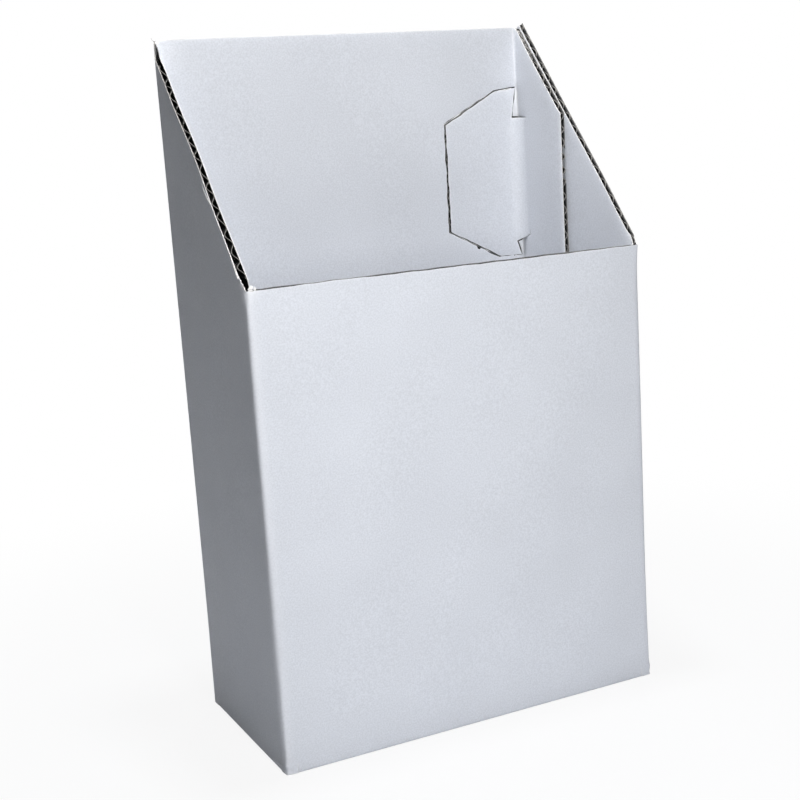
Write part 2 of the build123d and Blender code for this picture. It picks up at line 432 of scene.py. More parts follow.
    def window(self, open_share=1.0):
        """The tab's opening on the flat sheet: a ragged slit, wide at the lower left and nearly closed below."""
        gaps = [(a * MILLIMETRE * open_share, b * MILLIMETRE * open_share) for a, b in SLIT_GAPS]
        made = widened(self.tab_points(), gaps)
        if open_share == 1.0:
            nick, low = self.flap_inner - NICK_REACH, self.tab_low
            made[4:4] = [(nick + x, low + rise) for x, rise in NICK_OUTLINE]
            made[3:3] = [(self.flap_inner + x, low - gap * MILLIMETRE) for x, gap in SLIT_DASHES]
            made = made[:1] + wavy(made[1:-1], 0.00024, 0.0037, 1.0) + made[-1:]
        start = self.strip.folds[2][1]
        loop = [(start + x - self.left - self.outer, t) for x, t in made]
        loop[0] = (self.root, made[0][1])
        loop[-1] = (self.root, made[-1][1])
        return loop

    def warp(self, s, t):
        """How far the panels stand out of flat: slow bows, nothing at the folds or the base."""
        wave = np.sin(s * 31.0 + 1.3) * np.sin(t * 17.0 + 0.4) + 0.6 * np.sin(s * 67.0 + t * 41.0 + 2.0)
        hold = np.clip((t - self.zone) / 0.04, 0.0, 1.0)
        for a, b in self.strip.folds:
            hold = hold * np.clip((np.abs(s - (a + b) / 2) - 0.0115) / 0.02, 0.0, 1.0)
        return wave * hold

    def on_right(self, s):
        """Which places lie on the right side or on the glue flap."""
        return (s < self.strip.folds[0][0]) | (s > self.strip.folds[3][1])

    def lips(self, s, t):
        """How far the inner liner turns in over its cut edges: most at the glue flap's upright edge."""
        flat = np.stack([s, t], 1)
        edge = edge_distance(flat, [self.outline(), self.window()], self.root)
        turn = np.where(self.on_right(s), 0.00025, 0.00012)
        return turn * hump(edge, 0.0008) + 0.00045 * hump(self.strip.length - s, 0.0012)

    def squeezed(self, s, t, out):
        """Distances out from the board's middle where it is crushed: along two folds, and at two panels' tops."""
        corner, b4 = sum(self.strip.folds[2]) / 2, self.strip.folds[3][1]
        flap_loss, corner_loss, fold_loss = 0.12, 0.76, 0.45
        top = self.rise(self.back - self.outer)
        far = np.hypot(s - b4, (t - top) * 0.75)
        loss = np.where(s > b4 - 0.001, flap_loss * hump(far, 0.013), 0.0)
        high = np.clip(1.0 - (self.z.back_height - t) / 0.0135, 0.0, 1.0)
        wide = np.where(s > corner, 0.010, 0.005)
        loss = np.maximum(loss, corner_loss * high * hump(s - corner, wide))
        below = np.clip((self.z.front_height - 0.004 - t) / 0.02, 0.0, 1.0)
        for (a, b), crush in zip(self.strip.folds[:2], (fold_loss, fold_loss * below)):
            loss = np.maximum(loss, crush * hump(s - (a + b) / 2, 0.0026))
        return out + (self.half - out) * loss

    def drawn(self, s, t, out):
        """Distances out from the board's middle, with the upright folds' outer sides drawn out to crisp corners.

        They are crispest at the base and at the front's top.
        """
        made = np.array(out, float)
        (_, b1), _, (a3, _), _ = self.strip.folds
        crisp, soft = 3.6, 2.4
        at_base, at_top, at_right_top = 8.0, 7.0, 9.0
        below = np.abs(self.z.front_height - t)
        left_top = at_top * np.exp(-below / 0.01) * (s < a3)
        right_top = at_right_top * np.exp(-below / 0.0035)
        power = np.where(s > b1, crisp, soft) + at_base * np.exp(-np.maximum(t, 0.0) / 0.02)
        power = power + np.where(s > b1, left_top, right_top)
        for a, b in self.strip.folds:
            own = (s > a) & (s < b)
            angle = (s[own] - a) / (b - a) * math.pi / 2
            square = (np.cos(angle) ** power[own] + np.sin(angle) ** power[own]) ** (-1.0 / power[own])
            grown = 1.0 + (square - 1.0) * np.clip(made[own] / self.half, 0.0, 1.0)
            made[own] = (self.bend + made[own]) * grown - self.bend
        return made

    def pinched(self, spot, out):
        """Places on a base fold, with the fold's outer side drawn out to a crisp corner."""
        arm = np.clip(self.outer - spot, 0.0, None)
        far = np.linalg.norm(arm, axis=1)
        ahead = arm / np.maximum(far, 1e-9)[:, None]
        power = 12
        square = np.maximum((ahead**power).sum(1), 1e-9) ** (-1.0 / power)
        drawn = 1.0 + (square - 1.0) * np.clip(out / self.half, 0.0, 1.0)
        corner = (arm > 0.0).all(1)
        return np.where(corner[:, None], self.outer - arm * drawn[:, None], spot)

    def place(self, s, t, out):
        """Folds places of the flat sheet up into the box, each this far out from the board's middle."""
        middle, left = self.strip.at(s)
        out = self.drawn(s, t, out)
        made = np.concatenate([middle + left * out[:, None], t[:, None]], 1)
        for first, last, path in self.walls():
            own = (t < self.zone) & (s > first + 1e-6) & (s < last - 1e-6)
            if not own.any():
                continue
            flat, side = path.at(self.zone - t[own])
            spot = self.pinched(flat - side * out[own][:, None], out[own])
            wall = middle[own] + left[own] * self.half
            made[own, :2] = wall - left[own] * spot[:, :1]
            made[own, 2] = spot[:, 1]
        return made


class TabBlank:
    """The tab, flat: its own outline, and its wide bend from the glue flap into the back."""

    def __init__(self, blank):
        self.blank = blank
        half, radius = blank.half, blank.z.tab_bend_radius + blank.half
        end = (blank.flap_inner - blank.z.tab_reach, blank.back - half)
        corner = (blank.flap_inner + half, blank.back - half)
        self.path = FoldPath([(corner[0], blank.tab_root), corner, end], [radius])

    def outline(self):
        """Outline of the tab on the flat sheet."""
        along = np.linspace(0.0, self.path.length, 4000)
        across = self.path.at(along)[0][:, 0]
        places = [(float(np.interp(-x, -across, along)), t) for x, t in self.blank.tab_points()]
        places[0] = (0.0, places[0][1])
        places[-1] = (0.0, places[-1][1])
        return places[:1] + wavy(places[1:-1], 0.00015, 0.0031, 4.0) + places[-1:]

    def place(self, s, t, out):
        """Bends places of the flat tab, each this far out from the board's middle; its free end leans in a little."""
        middle, left = self.path.at(s)
        lean = np.clip((s - 0.016) / 0.044, 0.0, 1.0) * 0.0006
        made = np.concatenate([middle + left * out[:, None], t[:, None]], 1)
        made[:, 1] -= lean
        return made


def inside(points, loop):
    """Which points lie inside a closed outline."""
    made = np.zeros(len(points), bool)
    for (x0, y0), (x1, y1) in zip(loop, loop[1:] + loop[:1]):
        if y0 == y1:
            continue
        spans = (points[:, 1] < y0) != (points[:, 1] < y1)
        made ^= spans & (points[:, 0] < x0 + (points[:, 1] - y0) / (y1 - y0) * (x1 - x0))
    return made


def edge_distance(points, loops, uncut=None):
    """Distance of each point from the nearest cut edge, leaving out an upright line that isn't cut."""
    best = np.full(len(points), 1e9)
    for loop in loops:
        for a, b in zip(loop, loop[1:] + loop[:1]):
            if uncut is not None and abs(a[0] - uncut) < 1e-5 and abs(b[0] - uncut) < 1e-5:
                continue
            a, b = np.array(a), np.array(b)
            run = b - a
            share_along = np.clip(((points - a) @ run) / max(run @ run, 1e-18), 0.0, 1.0)
            best = np.minimum(best, np.linalg.norm(points - a - share_along[:, None] * run, axis=1))
    return best


def divided(loop, columns, rows, step):
    """A closed outline with more points: where it crosses the mesh's columns and rows, and at least every step."""
    made = []
    for a, b in zip(loop, loop[1:] + loop[:1]):
        a, b = np.array(a), np.array(b)
        cuts = {0.0}
        for axis, lines in ((0, columns), (1, rows)):
            if abs(b[axis] - a[axis]) > 1e-9:
                far = (np.array(lines) - a[axis]) / (b[axis] - a[axis])
                cuts |= {float(f) for f in far if 0.0 < f < 1.0}
        cuts = sorted(cuts) + [1.0]
        full = np.linalg.norm(b - a)
        for first, last in zip(cuts, cuts[1:]):
            parts = max(1, math.ceil((last - first) * full / step))
            for k in range(parts):
                point = a + (b - a) * (first + (last - first) * k / parts)
                if not made or np.linalg.norm(point - made[-1]) > 0.00012:
                    made.append(point)
    return [tuple(p) for p in made]


def ring(loop, inset):
    """Points beside an outline, on both its sides."""
    made = []
    for before, here, after in zip(loop[-1:] + loop[:-1], loop, loop[1:] + loop[:1]):
        ahead = np.array(after) - np.array(before)
        ahead /= max(np.linalg.norm(ahead), 1e-9)
        side = np.array([-ahead[1], ahead[0]]) * inset
        made += [np.array(here) + side, np.array(here) - side]
    return made


def flat_mesh(loops, columns, rows, step, rings):
    """Triangles over a flat outline with openings, with points on the fold columns and rows."""
    fine = [divided(loop, columns, rows, step) for loop in loops]
    grid = [np.array((s, t)) for s in columns for t in rows]
    near = [p for loop in fine for inset in rings for p in ring(loop, inset)]
    extra = np.array(grid + near)
    keep = inside(extra, fine[0])
    for hole in fine[1:]:
        keep &= ~inside(extra, hole)
    keep &= edge_distance(extra, fine) > 0.8 * min(rings)
    extra = extra[keep]
    points = [p for loop in fine for p in loop]
    edges, start = [], 0
    for loop in fine:
        count = len(loop)
        edges += [(start + k, start + (k + 1) % count) for k in range(count)]
        start += count
    verts = [Vector((x * 1000.0, y * 1000.0)) for x, y in points + [tuple(p) for p in extra]]
    out, _, faces, *_ = delaunay_2d_cdt(verts, edges, [], 0, 1e-4)
    flat = np.array([(v.x, v.y) for v in out]) / 1000.0
    faces = np.array(faces)
    centres = flat[faces].mean(1)
    keep = inside(centres, fine[0])
    for hole in fine[1:]:
        keep &= ~inside(centres, hole)
    faces = faces[keep]
    used, faces = np.unique(faces, return_inverse=True)
    flat, faces = flat[used], faces.reshape(-1, 3)
    a, b, c = flat[faces[:, 0]], flat[faces[:, 1]], flat[faces[:, 2]]
    area = (b[:, 0] - a[:, 0]) * (c[:, 1] - a[:, 1]) - (b[:, 1] - a[:, 1]) * (c[:, 0] - a[:, 0])
    faces[area < 0] = faces[area < 0][:, ::-1]
    return flat, faces, fine


def rim_edges(faces):
    """Directed edges that only one triangle has."""
    seen = {(a, b) for f in faces.tolist() for a, b in zip(f, f[1:] + f[:1])}
    return [(a, b) for a, b in seen if (b, a) not in seen]


def made_object(name, points, faces, smooth, sharp, materials, slots, values):
    """A new piece from points and faces, with its materials and the values that they read."""
    mesh = bpy.data.meshes.new(name)
    mesh.from_pydata([tuple(p) for p in points], [], faces)
    mesh.polygons.foreach_set("use_smooth", smooth)
    for material in materials:
        mesh.materials.append(material)
    mesh.polygons.foreach_set("material_index", slots)
    if sharp:
        for edge in mesh.edges:
            edge.use_edge_sharp = tuple(sorted(edge.vertices)) in sharp
    for key, numbers in values.items():
        layer = mesh.attributes.new(key, "FLOAT", "POINT")
        layer.data.foreach_set("value", np.asarray(numbers, np.float32))
    mesh.validate()
    mesh.update()
    piece = bpy.data.objects.new(name, mesh)
    bpy.context.scene.collection.objects.link(piece)
    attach(piece, BODY)
    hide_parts(NODE)
    return piece


def plain_object(name, points, faces, material, values):
    """A new smooth piece of one material."""
    count = len(faces)
    return made_object(name, points, faces, [True] * count, set(), [material], [0] * count, values)


def liner_piece(name, flat, faces, place, shown, hidden, side, uncut, shaded_slit, values, materials):
    """One liner: its shown face, its hidden face, and its cut edge all round, painted in the liner-back paper's deep
    grey inside the tab's slit, as shade.
    """
    s, t = flat[:, 0], flat[:, 1]
    count = len(flat)
    points = np.concatenate([place(s, t, shown), place(s, t, hidden)])
    front = faces[:, ::-1] if side > 0 else faces
    all_faces = front.tolist() + (front[:, ::-1] + count).tolist()
    smooth = [True] * len(all_faces)
    slots = [0] * len(faces) + [1] * len(faces)
    sharp = set()
    for a, b in rim_edges(front):
        if uncut[a] and uncut[b]:
            continue
        all_faces.append([b, a, a + count, b + count])
        smooth.append(True)
        # Painted shade: cut edges inside the slit take the liner-back paper.
        slots.append(1 if shaded_slit[a] else 2)
        sharp |= {tuple(sorted((a, b))), tuple(sorted((a + count, b + count)))}
    doubled = {key: np.concatenate([v, v]) for key, v in values.items()}
    return made_object(name, points, all_faces, smooth, sharp, materials, slots, doubled)


def spans(loops, t):
    """Where a level line at this height crosses the sheet, as pairs of from and to."""
    cuts = []
    for loop in loops:
        for (s0, t0), (s1, t1) in zip(loop, loop[1:] + loop[:1]):
            if (t0 < t) != (t1 < t):
                cuts.append(s0 + (t - t0) / (t1 - t0) * (s1 - s0))
    cuts.sort()
    return list(zip(cuts[::2], cuts[1::2]))


def medium_piece(name, loops, panels, level_tops, place, sizes, material):
    """The fluted paper between the liners, near every cut edge where it shows.

    Each panel has its ends, how deep in shade its cut edge lies, and how fast its outer side darkens inwards.
    """
    z = sizes
    rows_per_flute, column_step = 14, 0.012
    close, further, deep = 0.0007, 0.004, 0.016
    narrowest, top_depth, largest_jump = 0.0012, 0.012, 0.02
    high = z.board / 2 - z.liner - z.medium / 2
    points_s, points_t, points_o, depths, faces = [], [], [], [], []

    def add_row(columns, t, cuts, sink, spread):
        angle = 2.0 * math.pi * t / z.flute_pitch + 0.35 * math.sin(t * 211.0) + 0.3 * math.sin(t * 487.0 + 1.0)
        wave, lean = high * math.sin(angle), high * math.cos(angle) * 2.0 * math.pi / z.flute_pitch
        tilt = math.hypot(1.0, lean)
        outward = 0.5 + 0.5 * wave / high
        fade = 1.0 + (spread - 1.0) * outward
        shaded = sink * (1.0 + 2.0 * (spread - 1.0) * outward)
        start = len(points_s)
        for layer in (0.5, -0.5):
            thick = layer * z.medium
            for s in columns:
                points_s.append(s)
                depths.append(shaded + fade * min((abs(s - c) for c in cuts), default=1.0))
                points_t.append(t - thick * lean / tilt)
                points_o.append(wave + thick / tilt)
        return start

    for first, last, sink, spread in panels:
        low = min(t for loop in loops for _, t in loop)
        top = max(t for loop in loops for _, t in loop)
        before = {}
        for row in range(math.ceil(low / z.flute_pitch * rows_per_flute), int(top / z.flute_pitch * rows_per_flute)):
            t = row * z.flute_pitch / rows_per_flute
            strips = []
            for a, b in spans(loops, t):
                a_cut, b_cut = a > first, b < last
                a, b = max(a, first), min(b, last)
                if b - a < narrowest:
                    continue
                cuts = [a] * a_cut + [b] * b_cut
                ragged = 0.00012 + 0.00009 * math.sin(row * 2.1) * math.sin(row * 0.73)
                whole = any(
                    l0 - 1e-6 <= a and b <= l1 + 1e-6 and 0 <= level - t < top_depth for l0, l1, level in level_tops
                )
                if whole or b - a < 2 * deep:
                    count = max(2, math.ceil((b - a) / column_step) + 1)
                    near = [a + close] * a_cut + [b - close] * b_cut
                    line = np.linspace(a + ragged * a_cut, b - ragged * b_cut, count).tolist()
                    strips.append((np.array(sorted(line + near)), cuts))
                else:
                    if a_cut:
                        strips.append((np.array([a + ragged, a + close, a + further, a + deep]), cuts))
                    if b_cut:
                        strips.append((np.array([b - deep, b - further, b - close, b - ragged]), cuts))
            now = {}
            for k, (columns, cuts) in enumerate(strips):
                start = add_row(columns, t, cuts, sink, spread)
                count = len(columns)
                now[k] = (start, count, columns)
                old = before.get(k)
                if old is None or old[1] != count or len(before) != len(strips):
                    continue
                if abs(old[2] - columns).max() > largest_jump:
                    continue
                for layer in (0, 1):
                    for c in range(count - 1):
                        p, q = old[0] + layer * count + c, start + layer * count + c
                        face = [p, p + 1, q + 1, q]
                        faces.append(face[::-1] if layer == 0 else face)
                for c in (0, count - 1):
                    p, q = old[0] + c, start + c
                    face = [p, q, q + count, p + count]
                    faces.append(face[::-1] if c == 0 else face)
            before = now
    points = place(np.array(points_s), np.array(points_t), np.array(points_o))
    used = sorted({v for f in faces for v in f})
    lookup = {v: k for k, v in enumerate(used)}
    faces = [[lookup[v] for v in f] for f in faces]
    values = {"edge_distance": np.array(depths)[used]}
    return plain_object(name, points[used], faces, material, values)


def paper(name, colour, roughness, specular):
    """A new paper material with its nodes, its shader and its object coordinates."""
    material = bpy.data.materials.new(name)
    material.use_nodes = True
    nodes, links = material.node_tree.nodes, material.node_tree.links
    shader = nodes["Principled BSDF"]
    shader.inputs["Base Color"].default_value = (*colour, 1.0)
    shader.inputs["Roughness"].default_value = roughness
    shader.inputs["Specular IOR Level"].default_value = specular
    spot = nodes.new("ShaderNodeTexCoord").outputs["Object"]
    return material, nodes, links, shader, spot


def ranged(nodes, links, value, span, made=(0.0, 1.0), kind="LINEAR"):
    """A value's span spread over another."""
    node = nodes.new("ShaderNodeMapRange")
    node.interpolation_type = kind
    for socket, number in zip(("From Min", "From Max", "To Min", "To Max"), (*span, *made)):
        node.inputs[socket].default_value = number
    links.new(value, node.inputs["Value"])
    return node.outputs["Result"]


def carried(nodes, name):
    """A value that the piece carries at its points."""
    node = nodes.new("ShaderNodeAttribute")
    node.attribute_name = name
    return node.outputs["Fac"]


def grey(nodes, links, level):
    """A grey of this level."""
    shade = nodes.new("ShaderNodeCombineColor")
    for socket in shade.inputs[:3]:
        links.new(level, socket)
    return shade.outputs[0]


def raised(nodes, links, shader, height, strength, distance):
    """A fine relief on a shader."""
    bump = nodes.new("ShaderNodeBump")
    bump.inputs["Strength"].default_value = strength
    bump.inputs["Distance"].default_value = distance
    links.new(height, bump.inputs["Height"])
    links.new(bump.outputs["Normal"], shader.inputs["Normal"])


def speckle(nodes, links, spot, scale, detail, low, high):
    """Noise at a scale, spread between two values."""
    noise = nodes.new("ShaderNodeTexNoise")
    noise.inputs["Scale"].default_value = scale
    noise.inputs["Detail"].default_value = detail
    links.new(spot, noise.inputs["Vector"])
    return ranged(nodes, links, noise.outputs["Fac"], (0.3, 0.7), (low, high))


def maths(nodes, links, operation, first, second):
    """One sum of two values, each a socket or a number."""
    node = nodes.new("ShaderNodeMath")
    node.operation = operation
    for socket, value in zip(node.inputs, (first, second)):
        if isinstance(value, (int, float)):
            socket.default_value = value
        else:
            links.new(value, socket)
    return node.outputs[0]


def blended(nodes, links, kind, fac, first, second):
    """Two colours mixed, each a socket or a colour."""
    node = nodes.new("ShaderNodeMix")
    node.data_type = "RGBA"
    node.blend_type = kind
    for socket, value in zip((node.inputs[0], node.inputs[6], node.inputs[7]), (fac, first, second)):
        if hasattr(value, "links"):
            links.new(value, socket)
        elif isinstance(value, (int, float)):
            socket.default_value = value
        else:
            socket.default_value = (*value, 1.0)
    return node.outputs[2]


def liner_material(look, sizes):
    """Coated white liner: fine grain, faint cloud, whitening for wear along cut edges and as painted highlight on
    folds and ears, and flutes that just show through.
    """
    material, nodes, links, shader, spot = paper("white_liner", look.liner_colour, 0.55, 0.32)
    cloud = speckle(nodes, links, spot, 22.0, 2.0, 0.975, 1.015)
    grain = speckle(nodes, links, spot, 1150.0, 2.0, 1.0 - look.grain, 1.0 + look.grain)
    level = maths(nodes, links, "MULTIPLY", cloud, grain)
    colour = blended(nodes, links, "MULTIPLY", 1.0, tuple(look.liner_colour), grey(nodes, links, level))
    flecks = speckle(nodes, links, spot, 420.0, 3.0, 0.7, 1.0)
    # Whitening mixes in where the piece carries it: painted highlight on folds and ears, wear along cut edges.
    whitened_share = maths(nodes, links, "MULTIPLY", carried(nodes, "crease"), flecks)
    colour = blended(nodes, links, "MIX", whitened_share, colour, tuple(look.wear_and_highlight_colour))
    links.new(colour, shader.inputs["Base Color"])
    links.new(speckle(nodes, links, spot, 160.0, 3.0, 0.48, 0.62), shader.inputs["Roughness"])
    turns = maths(nodes, links, "MULTIPLY", carried(nodes, "blank_height"), 2.0 * math.pi / sizes.flute_pitch)
    ribs = maths(nodes, links, "MULTIPLY", maths(nodes, links, "SINE", turns, 0.0), 0.5)
    fibre = speckle(nodes, links, spot, 900.0, 4.0, -0.6, 0.6)
    raised(nodes, links, shader, maths(nodes, links, "ADD", ribs, fibre), 0.35, 0.00003)
    return material


def medium_material(name, colour, deep_colour, reading="edge_distance", near=0.0002, far=0.0009):
    """Uncoated paper inside the board: streaked, and darker away from the cut, where little light gets in."""
    material, nodes, links, shader, spot = paper(name, colour, 0.9, 0.1)
    stretch = nodes.new("ShaderNodeMapping")
    stretch.inputs["Scale"].default_value = (1.0, 1.0, 6.0)
    links.new(spot, stretch.inputs["Vector"])
    level = speckle(nodes, links, stretch.outputs["Vector"], 350.0, 4.0, 0.7, 1.25)
    sunk = ranged(nodes, links, carried(nodes, reading), (near, far))
    base = blended(nodes, links, "MIX", sunk, tuple(colour), tuple(deep_colour))
    links.new(blended(nodes, links, "MULTIPLY", 1.0, base, grey(nodes, links, level)), shader.inputs["Base Color"])
    raised(nodes, links, shader, level, 0.4, 0.00005)
    return material


def crushed_material():
    """Crushed paper: grey, with painted shade in its crumples."""
    look = bpy.context.scene.brochure_look
    colour, crumple_shade_colour = tuple(look.crushed_colour), tuple(look.deep_colour)
    material, nodes, links, shader, spot = paper("crushed_paper", colour, 0.9, 0.1)
    # Painted shade: patches of the flutes' shadow colour in the crumples.
    creases = speckle(nodes, links, spot, 900.0, 3.0, 0.02, 1.0)
    links.new(blended(nodes, links, "MIX", creases, crumple_shade_colour, colour), shader.inputs["Base Color"])
    raised(nodes, links, shader, creases, 0.6, 0.0001)
    return material


def board_materials():
    """Shown face, hidden face and cut edge of a liner, and the fluted medium."""
    names = ("white_liner", "liner_back", "cut_fibre", "fluted_medium")
    if not all(n in bpy.data.materials for n in names):
        look, sizes = bpy.context.scene.brochure_look, bpy.context.scene.brochure_sizes
        liner_material(look, sizes)
        medium_material("liner_back", look.back_colour, look.deep_colour)
        # Cut edges mix towards the painted edge shade where the pieces carry it.
        medium_material("cut_fibre", look.edge_colour, look.edge_shade_colour, "dulled", 0.0, 1.0)
        medium_material("fluted_medium", look.medium_colour, look.deep_colour)
    return [bpy.data.materials[n] for n in names]


def blank_lines(blank):
    """Columns and rows of the sheet's mesh: close across the folds, wide over the panels."""
    z = blank.z
    columns, rows = [], []
    close, further, fold_parts = 0.0012, 0.004, 12
    edges = [0.0] + [v for fold in blank.strip.folds for v in fold] + [blank.strip.length]
    for k, (a, b) in enumerate(zip(edges, edges[1:])):
        if k % 2:
            columns += np.linspace(a, b, fold_parts + 1).tolist()
        else:
            count = max(2, math.ceil((b - a - 2 * further) / z.grid_step))
            columns += [a + close, *np.linspace(a + further, b - further, count + 1), b - close]
    for path in (blank.base_path, blank.closing_path):
        for k, (start, run, *_rest) in enumerate(path.runs):
            parts = fold_parts if k % 2 else max(1, math.ceil(run / z.grid_step))
            rows += [blank.zone - start - run * f for f in np.linspace(0.0, 1.0, parts + 1)]
    rows += np.arange(blank.zone + 0.004, CAD_HIGH.z, z.grid_step).tolist()
    return sorted(set(np.round(columns, 6))), sorted(set(np.round(rows, 6)))


class BROCHURE_OT_fold_liners(bpy.types.Operator):
    """Fold both white liners of the whole sheet"""

    bl_idname = "brochure_box.fold_liners"
    bl_label = "Fold liners"

    def execute(self, context):
        sizes, look = context.scene.brochure_sizes, context.scene.brochure_look
        blank = Blank(sizes)
        columns, rows = blank_lines(blank)
        for name, side, loops in (
            ("outer_liner", 1.0, [blank.outline(sizes.front_dip), blank.window(0.12)]),
            ("inner_liner", -1.0, [blank.outline(trim=0.0022), blank.window()]),
        ):
            flat, faces, fine = flat_mesh(loops, columns, rows, 0.004, EDGE_RINGS)
            s, t = flat[:, 0], flat[:, 1]
            edge = edge_distance(flat, fine, blank.root)
            slit = edge_distance(flat, fine[1:], blank.root)
            move, crease = self.outer(blank, s, t) if side > 0 else self.inner(blank, s, t)
            shown = blank.squeezed(s, t, side * blank.half * np.ones(len(s))) + blank.warp(s, t) * look.bow + move
            values = {
                "blank_height": t,
                "edge_distance": edge * (self.lit(blank, s) if side > 0 else 1.0),
                "dulled": self.dulled(blank, s, t, side),
                # Whitening: painted highlight on folds and ears and wear at the front left corner, plus wear along
                # every cut edge.
                "crease": np.clip(crease + 0.6 * hump(edge, 0.0005), 0.0, 1.0),
            }
            uncut = (np.abs(s - blank.root) < 1e-5) & (blank.tab_low < t) & (t < blank.tab_high)
            hidden = shown - side * sizes.liner
            materials = board_materials()[:3]
            # Painted shade: the cut edges along the slit.
            shaded_slit = slit < 1e-5
            liner_piece(name, flat, faces, blank.place, shown, hidden, side, uncut, shaded_slit, values, materials)
        return {"FINISHED"}

    def lit(self, blank, s):
        """How fast the outer liner's hidden face darkens inwards: slowly on the right, where light gets in."""
        return np.where(blank.on_right(s), 0.5, 1.0)

    def dulled(self, blank, s, t, side):
        """Painted shade on the cut edges: between the glued boards, and on the outside of both slopes."""
        if side < 0:
            return np.where(s < blank.z.board + blank.z.flap_width, 0.2, 0.0)
        left = (s > blank.strip.folds[1][1]) & (s < blank.strip.folds[2][1])
        right = (s < blank.strip.folds[0][0]) | (s > blank.strip.folds[3][0])
        return np.where(right, 1.0, left * 0.8 * np.clip((t - 0.285) / 0.04, 0.0, 1.0))

    def outer(self, blank, s, t):
        """How far the outer liner is moved out, frayed at the left side's slope, and where it is whitened: painted
        light along the front left fold, and wear at its crumpled top corner.
        """
        _, (a2, b2), (a3, _), _ = blank.strip.folds
        flat = np.stack([s, t], 1)
        corner = np.exp(-((s - (a2 + b2) / 2) ** 2 + (t - blank.z.front_height - 0.002) ** 2) / 0.005**2)
        move = corner * np.sin(s * 4100.0 + t * 2300.0) * 0.00035
        foot, head = ((a2 + b2) / 2, blank.z.front_height), (a3, blank.left_rise(blank.back - blank.outer))
        ends = [foot, (b2, blank.left_rise(blank.front + blank.outer)), head]
        along = np.clip((0.315 - t) / 0.05, 0.0, 1.0) * np.clip((s - foot[0] + 0.001) / 0.004, 0.0, 1.0) * (s < a3)
        move = move + np.exp(-edge_distance(flat, [ends]) / 0.0035) * along * 0.0009
        for (a, b), ripple in zip(blank.strip.folds[:2], (0.00013, 0.00028)):
            wave = 1.0 + np.sin(2.0 * math.pi * t / blank.z.flute_pitch)
            move = move - hump(s - (a + b) / 2, 0.002) * wave * ripple
        # Painted light: a whitened band along the front left fold, where its round catches the light.
        fold = hump(s - (a2 + b2) / 2, 0.0022) * 0.35
        return move, np.clip(fold + corner, 0.0, 1.0)

    def inner(self, blank, s, t):
        """How far the inner liner is moved out, and where painted highlight whitens it: on the ears and at the top of
        their fold.
        """
        z = blank.z
        a4, b4 = blank.strip.folds[3]
        # Painted highlight: the ears are whitened as if they caught the light.
        ear = hump(np.maximum(a4 - 0.0042 - s, s - b4).clip(0.0), 0.0006)
        upper = np.abs(t - blank.tab_high + z.upper_ear / 2) < z.upper_ear / 2 + 0.001
        lower = np.abs(t - blank.tab_low - z.lower_ear / 2 - 0.001) < z.lower_ear / 2 + 0.002
        # Painted highlight: a whitened line at the top of the ears' fold.
        fold = hump(s - a4, 0.0009) * np.clip((t - 0.325) / 0.05, 0.0, 1.0)
        return blank.lips(s, t), np.clip(ear * (upper | lower) + fold, 0.0, 1.0)


class BROCHURE_OT_lay_flutes(bpy.types.Operator):
    """Lay the fluted medium between the liners, where the cut edges show it"""

    bl_idname = "brochure_box.lay_flutes"
    bl_label = "Lay flutes"

    def execute(self, context):
        sizes, look = context.scene.brochure_sizes, context.scene.brochure_look
        blank = Blank(sizes)
        loops = [blank.outline(sizes.front_dip), blank.window()]
        (a1, b1), (a2, b2), (a3, b3), (a4, b4) = blank.strip.folds
        clear = 0.0004
        panels = [
            (-1.0, (a1 + b1) / 2, 0.0006, 0.6),
            (b1 + clear, a2 - clear, 0.0, 1.0),
            (b2 + clear, a3 - clear, 0.0004, 1.0),
            (b3 + clear, a4 - clear, 0.0, 1.0),
            (b4 + clear, 2.0, 0.0005, 0.6),
        ]
        level_tops = [(b1, a2, sizes.front_height), (b3, a4, sizes.back_height)]

        def place(s, t, out):
            low = -blank.half + sizes.liner + sizes.medium / 2 + blank.lips(s, t)
            return blank.place(s, t, blank.squeezed(s, t, np.maximum(out, low)) + blank.warp(s, t) * look.bow)

        medium_piece("fluted_medium", loops, panels, level_tops, place, sizes, board_materials()[3])
        return {"FINISHED"}


class BROCHURE_OT_seat_tab(bpy.types.Operator):
    """Seat the die-cut tab in its opening, with its liners and its medium"""

    bl_idname = "brochure_box.seat_tab"
    bl_label = "Seat tab"

    def execute(self, context):
        sizes = context.scene.brochure_sizes
        blank = Blank(sizes)
        tab = TabBlank(blank)
        loop = tab.outline()
        a, b = tab.path.folds[0]
        columns = np.linspace(a, b, 13).tolist() + np.linspace(b, tab.path.length, 9)[1:].tolist()
        rows = np.arange(blank.tab_low, blank.tab_high, sizes.grid_step).tolist()
        flat, faces, fine = flat_mesh([loop], columns, rows, 0.003, EDGE_RINGS)
        s, t = flat[:, 0], flat[:, 1]
        edge = edge_distance(flat, fine, 0.0)
        lip = hump(edge, 0.0008) * 0.00015
        # Whitening along the tab's cut edges, as wear.
        crease = 0.75 * hump(edge, 0.0006)
        materials = board_materials()
        half, skin = blank.half, sizes.liner
        # Painted shade: every cut edge of the tab lies in the slit.
        shaded_slit = np.ones(len(s), bool)
        for name, side, move in (("tab_outer_liner", 1.0, -lip), ("tab_inner_liner", -1.0, lip)):
            shown = side * half + move
            values = {"blank_height": t, "edge_distance": edge, "crease": crease}
            hidden = shown - side * skin
            liner_piece(name, flat, faces, tab.place, shown, hidden, side, s < 1e-5, shaded_slit, values, materials[:3])
        medium_piece("tab_medium", [loop], [(b, 1.0, 0.0, 1.0)], [], tab.place, sizes, materials[3])
        return {"FINISHED"}


